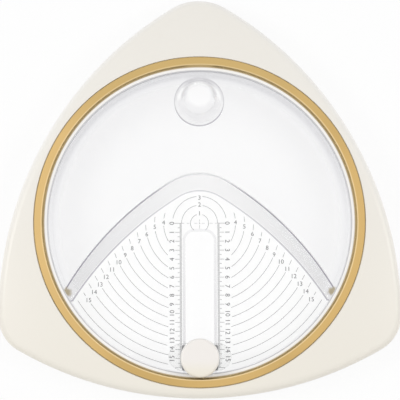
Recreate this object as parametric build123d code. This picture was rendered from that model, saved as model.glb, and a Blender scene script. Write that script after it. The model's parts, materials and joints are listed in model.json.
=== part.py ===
from build123d import *
import math
import os

os.makedirs("parts", exist_ok=True)

# Circle cutter. Lengths are in millimetres and angles in degrees. Z points up from the table.
# The origin is under the middle of the whole tool. The disc's axis stands axis_y from it.

# Printed scale: each number is the diameter in centimetres of the circle that the blade cuts
scale_step = 5.0
scale_count = 15
blade_reach = scale_step * scale_count

# Fits
running_gap = 0.1
loose_gap = 0.3
turning_gap = 0.5
snug_gap = 0.05
overrun = 5.0

# Slot with its toothed rails
slot_width = 15.8
slot_start = 4.6
slot_run_out = 5.8
slot_corner = 5.0
rail_width = 1.3
rail_height = 0.8
rail_start = 6.5
tooth_pitch = 1.0
tooth_depth = 0.45

# Clear disc
disc_rim_width = 3.6
disc_wall = 1.8
flange_gap = 0.5
flange_thickness = 2.0
floor_thickness = 2.0
floor_top_z = 4.2
dome_top_z = 20.0
dome_shoulder_z = 15.5
dome_inset = 1.7
dome_shoulder_width = 2.2
crest_y = 18.1
crest_radius = 21.75
crest_angle = 31.7
flank_radius = 189.0
chevron_draft = 28.1

# Finger knob on the dome
finger_margin = 3.95
finger_base_radius = 13.85
finger_top_radius = 10.6
finger_height = 17.5
finger_round = 5.0

# Trim ring
ring_gap = 1.1
ring_width = 5.3
ring_proud = 0.5
ring_thickness = 1.5
ring_bevel = 0.4
ring_inner_bevel = 0.9
ring_tongue_margin = 1.8
ring_tongue_width = 1.0
ring_tongue_depth = 1.2

# Frame outline: three shallow arcs with rounded corners
corner_angles = (90, 210, 330)
side_margin = 6.2
side_arc_radius = 201.0
top_corner_radius = 28.0
low_corner_radius = 21.5

# Frame heights and walls
foot_proud = 1.0
frame_top_z = 20.5
frame_wall = 2.2
frame_edge_radius = 4.5
crown_radius = 111.0
frame_draft = 1.5

# Base plate and the ledge that the disc turns on
base_thickness = 2.0
ledge_top_z = 9.9
ledge_thickness = 1.5
bearing_wall = 2.0

# Screws and feet under the frame
post_radius = 3.2
post_angle = 10.0
post_margin = 12.2
rib_thickness = 1.4
base_screw_radius = 1.3
base_screw_length = 9.0
base_head_radius = 2.6
base_head_height = 1.1
base_head_sink = 1.4
pilot_bite = 0.15
foot_radius = 7.0
foot_sink = 0.7
foot_margin = 5.7
foot_edge = 0.3

# Blade in its holder
point_lead = 0.5
blade_thickness = 0.4
blade_width = 2.4
blade_length = 6.0
blade_show = 0.8
blade_point_share = 0.35
slit_gap = 0.04
holder_wall = 0.4
holder_length = 6.2
holder_rise = 2.7

# Plunger and its return spring
press_travel = 2.4
nose_wall = 0.7
stem_step = 0.3
stem_flat = 0.6
stop_width = 1.1
stop_thickness = 0.7
wire_diameter = 0.7
coil_gap = 0.4
coil_turns = 8

# Press knob
knob_clearance = 0.4
knob_top_z = 30.0
knob_roof = 1.8
knob_skirt = 1.5
knob_skirt_overlap = 1.2
knob_taper = 0.35
knob_round = 1.3
socket_wall = 0.9
socket_depth = 3.0

# Carriage
plate_shift = 0.5
plate_overhang = 8.1
plate_margin = 0.6
plate_thickness = 2.2
plate_edge = 0.5
block_wall = 1.5
block_corner_share = 0.4
hub_wall = 2.05
hub_lip = 1.2
hub_headroom = 2.3
shoe_overhang = 4.1
shoe_inset = 0.4
shoe_thickness = 1.2
shoe_corner = 3.0
carriage_end_gap = 0.9
carriage_screw_radius = 1.0
carriage_screw_length = 4.6
carriage_head_radius = 1.8
carriage_head_height = 0.6

# Detent spring
leaf_thickness = 0.3
leaf_overhang = 0.8
leaf_inset = 0.6
leaf_corner = 1.0
leaf_tip_length = 1.6

# Disc, ring and frame, each set from the one inside it
slot_end = blade_reach + slot_run_out
tooth_count = int((slot_end - rail_start) / tooth_pitch)
disc_wall_radius = slot_end + disc_rim_width
ring_inner_radius = disc_wall_radius + ring_gap
ring_outer_radius = ring_inner_radius + ring_width
well_wall_radius = ring_outer_radius
well_radius = well_wall_radius - frame_wall
flange_edge_radius = well_radius - flange_gap
bore_radius = disc_wall_radius + turning_gap
well_floor_radius = disc_wall_radius - disc_wall
dome_foot_radius = disc_wall_radius - dome_inset
dome_shoulder_radius = dome_foot_radius - dome_shoulder_width
shelf_inner_radius = dome_foot_radius + turning_gap
tongue_inner_radius = ring_inner_radius + ring_tongue_margin
tongue_outer_radius = tongue_inner_radius + ring_tongue_width
finger_y = disc_wall_radius - finger_margin - finger_base_radius
side_reach = ring_outer_radius + side_margin
arc_offset = side_arc_radius - side_reach


def corner_reach(radius):
    """Distance from the disc's axis to the tip of a rounded frame corner."""
    reach = math.sqrt((side_arc_radius - radius) ** 2 - 3 / 4 * arc_offset**2)
    return reach - arc_offset / 2 + radius


top_reach = corner_reach(top_corner_radius)
axis_y = (side_reach - top_reach) / 2
foot_from_axis = top_reach - foot_margin - foot_radius
post_from_axis = ring_outer_radius + post_margin
screw_places = [
    (post_from_axis, corner + side * post_angle)
    for corner in corner_angles
    for side in (-1, 1)
]

# Heights of frame, ring and disc
frame_bottom_z = foot_proud
base_top_z = frame_bottom_z + base_thickness
ring_top_z = frame_top_z + ring_proud
rebate_z = ring_top_z - ring_thickness
flange_bottom_z = ledge_top_z + running_gap
flange_top_z = flange_bottom_z + flange_thickness
shelf_bottom_z = flange_top_z + loose_gap
tongue_bottom_z = rebate_z - ring_tongue_depth
disc_bottom_z = floor_top_z - floor_thickness
rail_top_z = floor_top_z + rail_height

# Plunger, spring and hub, each set round the one inside it
knob_reach = blade_reach - point_lead
holder_radius = blade_width / 2 + holder_wall
nose_radius = holder_radius + nose_wall
stem_radius = nose_radius + stem_step
stop_radius = stem_radius + stop_width
stop_bore_radius = stop_radius + loose_gap
socket_radius = stem_radius + socket_wall
coil_radius = socket_radius + coil_gap + wire_diameter / 2
hub_radius = coil_radius + wire_diameter + hub_wall
knob_radius = ring_inner_radius - knob_reach - knob_clearance

# Carriage over the slot
block_width = slot_width - running_gap * 2
block_length = (stop_bore_radius + block_wall) * 2
block_corner = block_length * block_corner_share
plate_length = slot_width + (rail_width + plate_overhang) * 2
plate_width = (hub_radius + plate_margin) * 2
shoe_length = slot_width + shoe_overhang * 2
shoe_width = plate_width - shoe_inset * 2
leaf_length = slot_width + (rail_width + leaf_overhang) * 2
leaf_width = plate_width - leaf_inset * 2
carriage_screw_x = (stop_bore_radius + block_width / 2) / 2
carriage_travel = knob_reach - block_length / 2 - slot_start - carriage_end_gap

# Heights of the carriage and what is pressed down in it
plate_bottom_z = rail_top_z + running_gap
plate_top_z = plate_bottom_z + plate_thickness
shoe_top_z = disc_bottom_z - running_gap * 2
shoe_bottom_z = shoe_top_z - shoe_thickness
stop_bottom_z = shoe_top_z + running_gap + press_travel
stop_top_z = stop_bottom_z + stop_thickness
lip_bottom_z = stop_top_z + running_gap
lip_top_z = lip_bottom_z + hub_lip
knob_roof_z = knob_top_z - knob_roof
hub_top_z = knob_roof_z - press_travel - hub_headroom
knob_bottom_z = hub_top_z - knob_skirt_overlap


def frame_outline(inset):
    """Flat outline of the frame, moved inwards by inset."""
    radius = side_arc_radius - inset
    arcs = [
        Pos(
            arc_offset * math.cos(math.radians(a)),
            arc_offset * math.sin(math.radians(a)),
        )
        * Circle(radius)
        for a in corner_angles
    ]
    face = arcs[0] & arcs[1] & arcs[2]
    top = face.vertices().sort_by(Axis.Y)[-1]
    face = fillet(top, top_corner_radius - inset)
    low = [v for v in face.vertices() if v.Y < 0 and abs(v.X) > side_reach / 2]
    return fillet(low, low_corner_radius - inset)


def ring_solid(outer, inner, low, high):
    """Plain round ring about the disc's axis."""
    body = extrude(Pos(0, 0, low) * Circle(outer), high - low)
    return body - extrude(Pos(0, 0, low - overrun) * Circle(inner), high - low + overrun * 2)


def turned(points):
    """Body of revolution from an outline of radius and height pairs."""
    face = make_face(Polyline(*points, close=True))
    return revolve(Plane.XZ * face, Axis.Z)


def crown_form(drop):
    """Everything under the frame's crowned top, with that top lowered by drop."""
    radius = crown_radius - drop
    top = frame_top_z - drop
    sweep = math.degrees(math.asin((top_reach + overrun - ring_outer_radius) / radius))
    arc = JernArc((ring_outer_radius, top), (1, 0), radius, -sweep)
    end = arc @ 1
    rest = Polyline(end, (end.X, 0), (0, 0), (0, top), (ring_outer_radius, top))
    return revolve(Plane.XZ * make_face([arc, *rest.edges()]), Axis.Z)


def frame_block(inset, drop, bottom):
    """Frame form without its hollow: outline drawn up with draft, and crowned."""
    block = extrude(Pos(0, 0, bottom) * frame_outline(inset), frame_top_z, taper=frame_draft)
    return block & crown_form(drop)


def polar_places(places):
    """Locations about the disc's axis from pairs of radius and angle."""
    return [Rot(0, 0, angle) * Pos(radius, 0, 0) for radius, angle in places]


def frame_shell():
    """Ivory top shell with its side walls, well wall, screw posts and ribs.

    The shelf inside the well wall holds the disc's flange down and carries the trim ring.
    """
    outer = frame_block(0, 0, frame_bottom_z)
    mid_z = (frame_bottom_z + frame_top_z) / 2
    rim = [e for e in outer.edges() if e.bounding_box().min.Z > mid_z and not e.is_closed]
    outer = fillet(rim, frame_edge_radius)
    hollow = frame_block(frame_wall, frame_wall, frame_bottom_z)
    hollow -= extrude(Circle(well_wall_radius), frame_top_z + overrun)
    hollow -= posts_and_ribs()
    shell = outer - hollow
    shell -= extrude(Circle(shelf_inner_radius), frame_top_z + overrun)
    shell -= extrude(Circle(well_radius), shelf_bottom_z)
    shell -= extrude(Circle(well_wall_radius), ledge_top_z + snug_gap)
    shell -= extrude(Pos(0, 0, rebate_z) * Circle(ring_outer_radius + loose_gap), overrun * 2)
    groove_outer = tongue_outer_radius + snug_gap
    groove_inner = tongue_inner_radius - snug_gap
    shell -= ring_solid(groove_outer, groove_inner, tongue_bottom_z - loose_gap, frame_top_z)
    depth = base_screw_length - base_thickness + base_head_sink
    pilot = Pos(0, 0, base_top_z) * Circle(base_screw_radius - pilot_bite)
    for place in polar_places(screw_places):
        shell -= place * extrude(pilot, depth)
    return shell


def posts_and_ribs():
    """Screw posts hanging from the shell's roof, each with a rib to the well wall."""
    post = Pos(0, 0, base_top_z) * Circle(post_radius)
    rib_length = post_from_axis - well_radius
    rib = Pos(-rib_length / 2, 0, ledge_top_z) * Rectangle(rib_length, rib_thickness)
    forms = [place * extrude(post, frame_top_z) for place in polar_places(screw_places)]
    forms += [place * extrude(rib, frame_top_z) for place in polar_places(screw_places)]
    return forms


def base_plate():
    """Plate that closes the frame below, with the ledge and wall that guide the disc."""
    inset = frame_wall + loose_gap
    plate = extrude(Pos(0, 0, frame_bottom_z) * frame_outline(inset), base_thickness)
    plate -= extrude(Circle(bore_radius), ledge_top_z)
    plate += ring_solid(bore_radius + bearing_wall, bore_radius, frame_bottom_z, ledge_top_z)
    ledge_low = ledge_top_z - ledge_thickness
    plate += ring_solid(well_wall_radius, bore_radius, ledge_low, ledge_top_z)
    shank = extrude(Circle(base_screw_radius + loose_gap / 2), base_top_z + overrun)
    sink_top = frame_bottom_z + base_head_sink
    head = extrude(Circle(base_head_radius + loose_gap), sink_top)
    for place in polar_places(screw_places):
        plate -= place * (shank + head)
    seat = extrude(Circle(foot_radius + running_gap), frame_bottom_z + foot_sink)
    for angle in corner_angles:
        plate -= Rot(0, 0, angle) * Pos(foot_from_axis, 0, 0) * seat
    return plate


def foot(angle):
    """Rubber foot in its round seat under one corner."""
    pad = extrude(Circle(foot_radius), frame_bottom_z + foot_sink)
    pad = fillet(pad.faces().sort_by(Axis.Z)[0].edges(), foot_edge)
    return Rot(0, 0, angle) * Pos(foot_from_axis, 0, 0) * pad


def screw(shank_radius, length, head_radius, head_height):
    """Pan-head screw standing on its head at z 0, with a cross slot under the head."""
    body = extrude(Circle(head_radius), head_height)
    body = chamfer(body.faces().sort_by(Axis.Z)[0].edges(), head_height / 3)
    body += extrude(Pos(0, 0, head_height) * Circle(shank_radius), length)
    slot = Rectangle(head_radius * 5 / 4, head_radius / 4)
    return body - extrude(slot + Rot(0, 0, 90) * slot, head_height / 2)


def base_screws():
    """The screws that hold the base plate up to the posts of the shell."""
    one = screw(
        base_screw_radius - pilot_bite - snug_gap,
        base_screw_length - base_head_height,
        base_head_radius,
        base_head_height,
    )
    low = frame_bottom_z + base_head_sink - base_head_height
    return [place * Pos(0, 0, low) * one for place in polar_places(screw_places)]


def trim_ring():
    """Gold ring: a flat band in the rebate, with a tongue pressed into the shelf's groove."""
    return turned(
        [
            (ring_inner_radius, rebate_z),
            (tongue_inner_radius, rebate_z),
            (tongue_inner_radius, tongue_bottom_z),
            (tongue_outer_radius, tongue_bottom_z),
            (tongue_outer_radius, rebate_z),
            (ring_outer_radius, rebate_z),
            (ring_outer_radius, ring_top_z - ring_bevel),
            (ring_outer_radius - ring_bevel, ring_top_z),
            (ring_inner_radius + ring_inner_bevel, ring_top_z),
            (ring_inner_radius, ring_top_z - ring_inner_bevel),
        ]
    )


def flank_end(grow):
    """Where the flank's arc, grown by grow, passes out beyond the disc's flange."""
    turn = math.radians(crest_angle)
    away = flank_radius - crest_radius
    centre = Vector(-away * math.sin(turn), crest_y - crest_radius - away * math.cos(turn))
    outside = flange_edge_radius + overrun
    radius = flank_radius + grow
    along = (outside**2 - radius**2 + centre.length**2) / (2 * centre.length)
    across = math.sqrt(outside**2 - along**2)
    way = centre.normalized()
    return way * along + Vector(-way.Y, way.X) * across


def chevron_face(grow):
    """Plan of the scale half: a rounded crest with two long flanks, grown by grow."""
    crest = JernArc((0, crest_y + grow), (1, 0), crest_radius + grow, -crest_angle)
    end = flank_end(grow)
    flank = TangentArc(crest @ 1, end, tangent=crest % 1)
    far = -(flange_edge_radius + overrun)
    closing = Polyline(end, (end.X, far), (0, far), (0, crest_y + grow))
    half = make_face([crest, flank, *closing.edges()])
    return half + mirror(half, Plane.YZ)


def dome_form(inset, bottom):
    """Everything under the dome, with its surface moved inwards by inset."""
    rise = dome_top_z - dome_shoulder_z
    radius = (dome_shoulder_radius**2 + rise**2) / (2 * rise)
    sweep = math.asin(dome_shoulder_radius / radius)
    crown = JernArc((0, dome_top_z - inset), (1, 0), radius - inset, -math.degrees(sweep))
    foot_point = (dome_foot_radius - inset, flange_top_z)
    shoulder = TangentArc(crown @ 1, foot_point, tangent=crown % 1)
    rest = Polyline(
        foot_point,
        (dome_foot_radius - inset, bottom),
        (0, bottom),
        (0, dome_top_z - inset),
    )
    return revolve(Plane.XZ * make_face([crown, shoulder, *rest.edges()]), Axis.Z)


def finger_form(inset):
    """Finger knob: a blunt cone with a well rounded top, its skin moved inwards by inset."""
    low = dome_shoulder_z - disc_wall * 2
    top = dome_shoulder_z + finger_height - inset
    base_r = finger_base_radius - inset
    top_r = finger_top_radius - inset
    side = [(base_r, low), (base_r, dome_shoulder_z), (top_r, top)]
    face = make_face(Polyline((0, low), *side, (0, top), close=True))
    corner = face.vertices().group_by(Axis.Y)[-1].sort_by(Axis.X)[-1]
    face = fillet(corner, finger_round - inset)
    return Pos(0, finger_y, 0) * revolve(Plane.XZ * face, Axis.Z)


def slot_face():
    """Plan of the slot from near the centre outwards."""
    length = slot_end - slot_start
    return Pos(0, -(slot_start + slot_end) / 2) * RectangleRounded(slot_width, length, slot_corner)


def rack():
    """One rail beside the slot, its top cut into teeth along its whole length."""
    root = rail_top_z - tooth_depth
    points = [(rail_start, floor_top_z - floor_thickness / 2)]
    points.append((rail_start, root))
    for i in range(tooth_count):
        start = rail_start + i * tooth_pitch
        points.append((start + tooth_pitch / 2, rail_top_z))
        points.append((start + tooth_pitch, root))
    end = rail_start + tooth_count * tooth_pitch
    points.append((end, floor_top_z - floor_thickness / 2))
    face = make_face(Polyline(*points, close=True))
    outside = slot_width / 2 + rail_width
    plane = Plane(origin=(outside, 0, 0), x_dir=(0, -1, 0), z_dir=(-1, 0, 0))
    return extrude(plane * face, rail_width)


def clear_disc():
    """The clear moulding: dome, finger knob, chevron wall, scale floor, slot and rails."""
    draft = math.radians(chevron_draft)
    climb = dome_top_z + overrun - floor_top_z
    skin = dome_form(0, disc_bottom_z)
    skin += extrude(Pos(0, 0, disc_bottom_z) * Circle(disc_wall_radius), flange_top_z - disc_bottom_z)
    bite = disc_wall_radius - disc_wall / 2
    skin += ring_solid(flange_edge_radius, bite, flange_bottom_z, flange_top_z)
    skin += finger_form(0)
    window = extrude(Pos(0, 0, floor_top_z) * chevron_face(0), climb, taper=-chevron_draft)
    well = extrude(Circle(well_floor_radius), dome_top_z + overrun)
    above = extrude(Pos(0, 0, flange_top_z) * Circle(flange_edge_radius + overrun), climb)
    skin -= window & (well + above)
    grow = disc_wall / math.cos(draft) - floor_thickness * math.tan(draft)
    guard = extrude(
        Pos(0, 0, disc_bottom_z) * chevron_face(grow),
        climb + floor_thickness,
        taper=-chevron_draft,
    )
    hollow = dome_form(disc_wall, disc_bottom_z - overrun) + finger_form(disc_wall)
    below = Pos(0, 0, disc_bottom_z - overrun) * Circle(well_floor_radius)
    hollow += extrude(below, flange_bottom_z - disc_bottom_z + overrun)
    skin -= hollow - guard - below_floor()
    skin -= extrude(slot_face(), floor_top_z + overrun)
    return skin + rack() + mirror(rack(), Plane.YZ)


def below_floor():
    """Space under the disc, which the hollow leaves alone."""
    return extrude(Pos(0, 0, disc_bottom_z - overrun) * chevron_face(0), overrun)


def carriage_block():
    """Plan of the guide block that runs in the slot."""
    return RectangleRounded(block_width, block_length, block_corner)


def leaf_plan(gap):
    """Plan of the detent spring, grown by gap on its outside."""
    return RectangleRounded(leaf_length + gap * 2, leaf_width + gap * 2, leaf_corner)


def carriage_plate():
    """Clear rider on the rails, with its guide block below and hub above."""
    plate = Pos(0, plate_shift, plate_bottom_z) * SlotOverall(plate_length, plate_width)
    body = extrude(plate, plate_thickness)
    body = fillet(body.faces().sort_by(Axis.Z)[-1].edges(), plate_edge)
    body -= Pos(0, 0, plate_bottom_z) * extrude(leaf_plan(running_gap), leaf_room())
    body += extrude(Pos(0, 0, shoe_top_z) * carriage_block(), plate_top_z - shoe_top_z - plate_edge)
    hub_low = plate_bottom_z + leaf_room()
    body += extrude(Pos(0, 0, hub_low) * Circle(hub_radius), hub_top_z - hub_low)
    body -= extrude(Pos(0, 0, shoe_top_z) * Circle(stop_bore_radius), lip_bottom_z - shoe_top_z)
    spring_bore = coil_radius + wire_diameter
    body -= extrude(Pos(0, 0, lip_top_z) * Circle(spring_bore), hub_top_z)
    body -= extrude(Pos(0, 0, shoe_top_z) * stem_plan(running_gap), hub_top_z)
    pilot = Pos(0, 0, shoe_top_z) * Circle(carriage_screw_radius - pilot_bite)
    for side in (-1, 1):
        body -= Pos(side * carriage_screw_x, 0, 0) * extrude(pilot, carriage_screw_length)
    return body


def leaf_room():
    """Depth of the pocket for the detent spring under the plate."""
    return plate_thickness / 4 + leaf_thickness / 2


def detent_spring():
    """Flat steel frame round the guide block, with two tips bent down to the rail teeth."""
    top = plate_bottom_z + leaf_room() - snug_gap
    low = top - leaf_thickness
    leaf = extrude(Pos(0, 0, low) * leaf_plan(0), leaf_thickness)
    window = RectangleRounded(
        block_width + running_gap * 2, block_length + running_gap * 2, block_corner
    )
    leaf -= extrude(window, plate_top_z)
    tip_low = rail_top_z + snug_gap
    tip = make_face(
        Polyline(
            (-leaf_tip_length / 2, low + leaf_thickness / 2),
            (leaf_tip_length / 2, low + leaf_thickness / 2),
            (0, tip_low),
            close=True,
        )
    )
    for side in (-1, 1):
        rail_x = side * (slot_width + rail_width) / 2
        plane = Plane(origin=(rail_x, 0, 0), x_dir=(0, 1, 0), z_dir=(1, 0, 0))
        leaf += extrude(plane * tip, rail_width / 2, both=True)
    return leaf


def stem_plan(gap):
    """D-shaped section of the plunger's stem, grown by gap."""
    radius = stem_radius + gap
    keep = Pos(-stem_flat, 0) * Rectangle(radius * 2, radius * 2)
    return Circle(radius) & keep


def carriage_shoe():
    """Plate under the disc's floor, with the blade's hole and sunk screw heads."""
    plan = Pos(0, plate_shift) * RectangleRounded(shoe_length, shoe_width, shoe_corner)
    body = extrude(Pos(0, 0, shoe_bottom_z) * plan, shoe_thickness)
    body -= extrude(Circle(nose_radius + loose_gap), shoe_top_z + overrun)
    shank = extrude(Circle(carriage_screw_radius + running_gap), shoe_top_z + overrun)
    sink = shoe_bottom_z + carriage_head_height + running_gap
    head = extrude(Circle(carriage_head_radius + running_gap), sink)
    for side in (-1, 1):
        body -= Pos(side * carriage_screw_x, 0, 0) * (shank + head)
    return body


def carriage_screws():
    """The two screws that clamp the shoe to the guide block."""
    one = screw(
        carriage_screw_radius - pilot_bite - snug_gap,
        carriage_screw_length,
        carriage_head_radius,
        carriage_head_height,
    )
    low = shoe_bottom_z + running_gap
    return [Pos(side * carriage_screw_x, 0, low) * one for side in (-1, 1)]


def press_knob():
    """Cream cap with a rounded rim, hollow below, and a socket for the stem."""
    rim_top = knob_radius - knob_taper
    face = make_face(
        Polyline(
            (0, knob_roof_z),
            (knob_radius - knob_skirt, knob_roof_z),
            (knob_radius - knob_skirt, knob_bottom_z),
            (knob_radius, knob_bottom_z),
            (rim_top, knob_top_z),
            (0, knob_top_z),
            close=True,
        )
    )
    corner = face.vertices().group_by(Axis.Y)[-1].sort_by(Axis.X)[-1]
    face = fillet(corner, knob_round)
    body = revolve(Plane.XZ * face, Axis.Z)
    socket = Pos(0, 0, knob_roof_z - socket_depth) * Circle(socket_radius)
    body += extrude(socket, socket_depth + knob_roof / 2)
    hole = Pos(0, 0, knob_roof_z - socket_depth) * stem_plan(snug_gap)
    return body - extrude(hole, socket_depth)


def plunger():
    """D-shaped stem with the round stop and the nose that takes the blade holder."""
    body = extrude(Pos(0, 0, stop_top_z) * stem_plan(0), knob_roof_z - snug_gap - stop_top_z)
    body += extrude(Pos(0, 0, stop_bottom_z) * Circle(stop_radius), stop_thickness)
    body += extrude(Pos(0, 0, holder_rise) * Circle(nose_radius), stop_bottom_z - holder_rise)
    return body - extrude(Circle(holder_radius + snug_gap), holder_rise + holder_length + snug_gap)


def blade_holder():
    """Plug in the plunger's nose, slit for the blade."""
    body = extrude(Pos(0, 0, holder_rise) * Circle(holder_radius), holder_length)
    slit_low = holder_rise - overrun
    slit_plan = Rectangle(blade_width + slit_gap * 2, blade_thickness + slit_gap * 2)
    height = blade_length - blade_show + slit_gap + overrun
    return body - extrude(Pos(0, -point_lead, slit_low) * slit_plan, height)


def cutting_blade():
    """Steel blade whose point shows below its holder."""
    low = holder_rise - blade_show
    point = blade_length * blade_point_share
    face = make_face(
        Polyline(
            (-blade_width / 2, low + blade_length),
            (-blade_width / 2, low),
            (blade_width / 2, low + point),
            (blade_width / 2, low + blade_length),
            close=True,
        )
    )
    body = extrude(Plane.XZ * face, blade_thickness / 2, both=True)
    return Pos(0, -point_lead, 0) * body


def biarc(start, start_way, end, end_way):
    """Two arcs that join two points and are tangent to both ways."""
    chord = end - start
    a = 2 * (start_way.dot(end_way) - 1)
    b = -2 * chord.dot(start_way + end_way)
    c = chord.dot(chord)
    reach = (-b - math.sqrt(b * b - 4 * a * c)) / (2 * a)
    first = start + start_way * reach
    last = end - end_way * reach
    middle = (first + last) * 0.5
    way = (last - first).normalized()
    return [
        TangentArc(start, middle, tangent=start_way),
        TangentArc(middle, end, tangent=way),
    ]


def return_spring():
    """Coil spring from the hub's lip to the knob's roof, as one unbroken wire."""
    low = lip_top_z + wire_diameter / 2 + running_gap
    high = knob_roof_z - wire_diameter / 2 - running_gap
    climb = (high - low) / coil_turns
    around = math.hypot(math.tau * coil_radius, climb)

    def place(turn):
        angle = math.tau * turn
        return Vector(
            coil_radius * math.cos(angle), coil_radius * math.sin(angle), low + climb * turn
        )

    def way(turn):
        angle = math.tau * turn
        flat = math.tau * coil_radius / around
        return Vector(-flat * math.sin(angle), flat * math.cos(angle), climb / around)

    steps = coil_turns * 4
    edges = [Line(place(0) - way(0) * wire_diameter, place(0))]
    for i in range(steps):
        a, b = i / 4, (i + 1) / 4
        edges += biarc(place(a), way(a), place(b), way(b))
    edges.append(Line(place(coil_turns), place(coil_turns) + way(coil_turns) * wire_diameter))
    path = Wire(edges)
    start = edges[0] @ 0
    section = Plane(origin=start, z_dir=way(0)) * Circle(wire_diameter / 2)
    gaps = [
        (place(i / 40) - place(j / 40)).length - wire_diameter
        for i in range(coil_turns * 40)
        for j in range(i + 20, coil_turns * 40)
    ]
    print("return_spring least gap to itself", round(min(gaps), 2), "mm")
    return sweep(section, path=path)


def write(name, shape, place):
    """Writes one sub-part in the tool's own frame."""
    solids = shape if isinstance(shape, list) else [shape]
    moved = [place * s for s in solids]
    whole = Compound(children=[s for m in moved for s in m.solids()]) if len(moved) > 1 else moved[0]
    export_step(whole, os.path.join("parts", name + ".step"))


on_axis = Pos(0, axis_y, 0)
on_knob = Pos(0, axis_y - knob_reach, 0)

write("frame_shell", frame_shell(), on_axis)
write("base_plate", base_plate(), on_axis)
write("trim_ring", trim_ring(), on_axis)
for name, angle in zip(("foot_top", "foot_left", "foot_right"), corner_angles):
    write(name, foot(angle), on_axis)
write("base_screws", base_screws(), on_axis)
write("clear_disc", clear_disc(), on_axis)
write("carriage_plate", carriage_plate(), on_knob)
write("carriage_shoe", carriage_shoe(), on_knob)
write("carriage_screws", carriage_screws(), on_knob)
write("detent_spring", detent_spring(), on_knob)
write("press_knob", press_knob(), on_knob)
write("plunger", plunger(), on_knob)
write("blade_holder", blade_holder(), on_knob)
write("cutting_blade", cutting_blade(), on_knob)
write("return_spring", return_spring(), on_knob)
print("carriage travel", round(carriage_travel, 2), "mm")
print("disc axis at y", round(axis_y, 3), "mm")
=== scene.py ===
# %% [markdown]
# # Circle cutter
# A rounded, three-cornered ivory frame holds a clear turning disc. A scale is printed on the disc's
# sunk half, and a small carriage with a press knob slides along a slot in it. The solid pieces come
# from the construction model. This lesson gives them their finishes, prints the scale on the disc,
# winds the small spring, and sets up a plain studio.

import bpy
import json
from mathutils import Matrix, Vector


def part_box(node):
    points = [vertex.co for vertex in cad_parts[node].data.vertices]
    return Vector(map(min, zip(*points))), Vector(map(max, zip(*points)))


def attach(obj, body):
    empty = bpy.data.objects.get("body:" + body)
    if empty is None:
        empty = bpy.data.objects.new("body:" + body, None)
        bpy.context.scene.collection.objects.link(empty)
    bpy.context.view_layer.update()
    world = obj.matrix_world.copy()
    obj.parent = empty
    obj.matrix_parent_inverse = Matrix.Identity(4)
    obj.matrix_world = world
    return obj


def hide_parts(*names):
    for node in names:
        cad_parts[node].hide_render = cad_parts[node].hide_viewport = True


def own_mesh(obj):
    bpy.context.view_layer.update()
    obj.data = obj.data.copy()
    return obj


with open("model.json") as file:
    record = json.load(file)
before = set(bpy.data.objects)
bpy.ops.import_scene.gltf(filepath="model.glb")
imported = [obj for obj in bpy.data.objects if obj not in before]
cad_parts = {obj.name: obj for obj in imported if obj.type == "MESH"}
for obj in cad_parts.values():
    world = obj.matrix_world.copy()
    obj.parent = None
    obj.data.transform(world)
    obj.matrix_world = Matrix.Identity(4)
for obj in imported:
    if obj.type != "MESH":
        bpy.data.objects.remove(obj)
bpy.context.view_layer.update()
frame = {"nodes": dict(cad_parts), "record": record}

import json
import math

import bpy
from mathutils import Vector

print("pieces from the construction model:", sorted(frame["nodes"]))

# %% [markdown]
# ## Where things are
# Blender works in metres, and the model's own sizes are easier to read in millimetres, so one named
# value turns one into the other. The disc's middle is read from the gold ring, which is round and
# centred on it. The few other values repeat those of the construction model. The foot of the sloping
# wall is a small crest circle that runs on into a long flank on each side, and the dome is part of
# a large sphere.

# %% Places on the object
MM = 0.001
ring_low, ring_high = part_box("trim_ring")
disc_middle = (ring_low + ring_high) / 2
floor_top = 4.2 * MM
scale_step = 5.0 * MM

crest_middle, crest_radius, crest_turn = Vector((0, -3.65 * MM)), 21.75 * MM, math.radians(31.7)
crest_end = Vector((math.sin(crest_turn), math.cos(crest_turn)))
flank_radius = 189 * MM
flank_middle = crest_middle - crest_end * (flank_radius - crest_radius)
wall_draft = math.radians(28.1)
dome_top, dome_curve, dome_shoulder, dome_rim = 20 * MM, 722 * MM, 80.5 * MM, 82.7 * MM
finger_middle, finger_foot = Vector((0, 66.6 * MM)), 13.6 * MM
print("disc's axis at", [round(v / MM, 2) for v in disc_middle.xy], "mm")

# %% [markdown]
# ## The camera
# The photograph was taken from nearly straight above with a long lens. The camera hangs about a
# metre over the disc, a few degrees towards its lower edge, and looks at a point a little above
# the disc's middle, so that the whole frame fills the picture.

# %% Hang the camera over the disc
camera_distance = 1000 * MM
camera_tilt = math.radians(3.8)
aim_right, aim_up, aim_height = 0.3 * MM, 12.5 * MM, 10 * MM
focal_pixels, picture_pixels, sensor_width = 1808, 400, 36
clip_near, clip_far = 10 * MM, 20

disc_point = Vector((disc_middle.x, disc_middle.y, aim_height))
camera_place = disc_point + camera_distance * Vector((0, -math.sin(camera_tilt), math.cos(camera_tilt)))
aim_point = disc_point + Vector((aim_right, aim_up, 0))
bpy.ops.object.camera_add(location=camera_place)
camera = bpy.context.object
camera.rotation_euler = (aim_point - camera_place).to_track_quat("-Z", "Y").to_euler()
camera.data.sensor_width = sensor_width
camera.data.lens = sensor_width * focal_pixels / picture_pixels
camera.data.clip_start, camera.data.clip_end = clip_near, clip_far
bpy.context.scene.camera = camera
bpy.context.scene.view_settings.view_transform = "Standard"
print("lens", round(camera.data.lens, 1), "mm")

# %% [markdown]
# ## Shader maths in plain Python
# A material is a small network of nodes. Written out node by node it is long and hard to read, so
# one class stands for a socket and turns sums and products into Math nodes. A second class is a
# network with a method that adds any other node, and a third is a material that is being mixed.
# Most patterns are fades. The numbers of a fade say where it starts and ends and, unless that is
# nought and one, how strong it is there.

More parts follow.
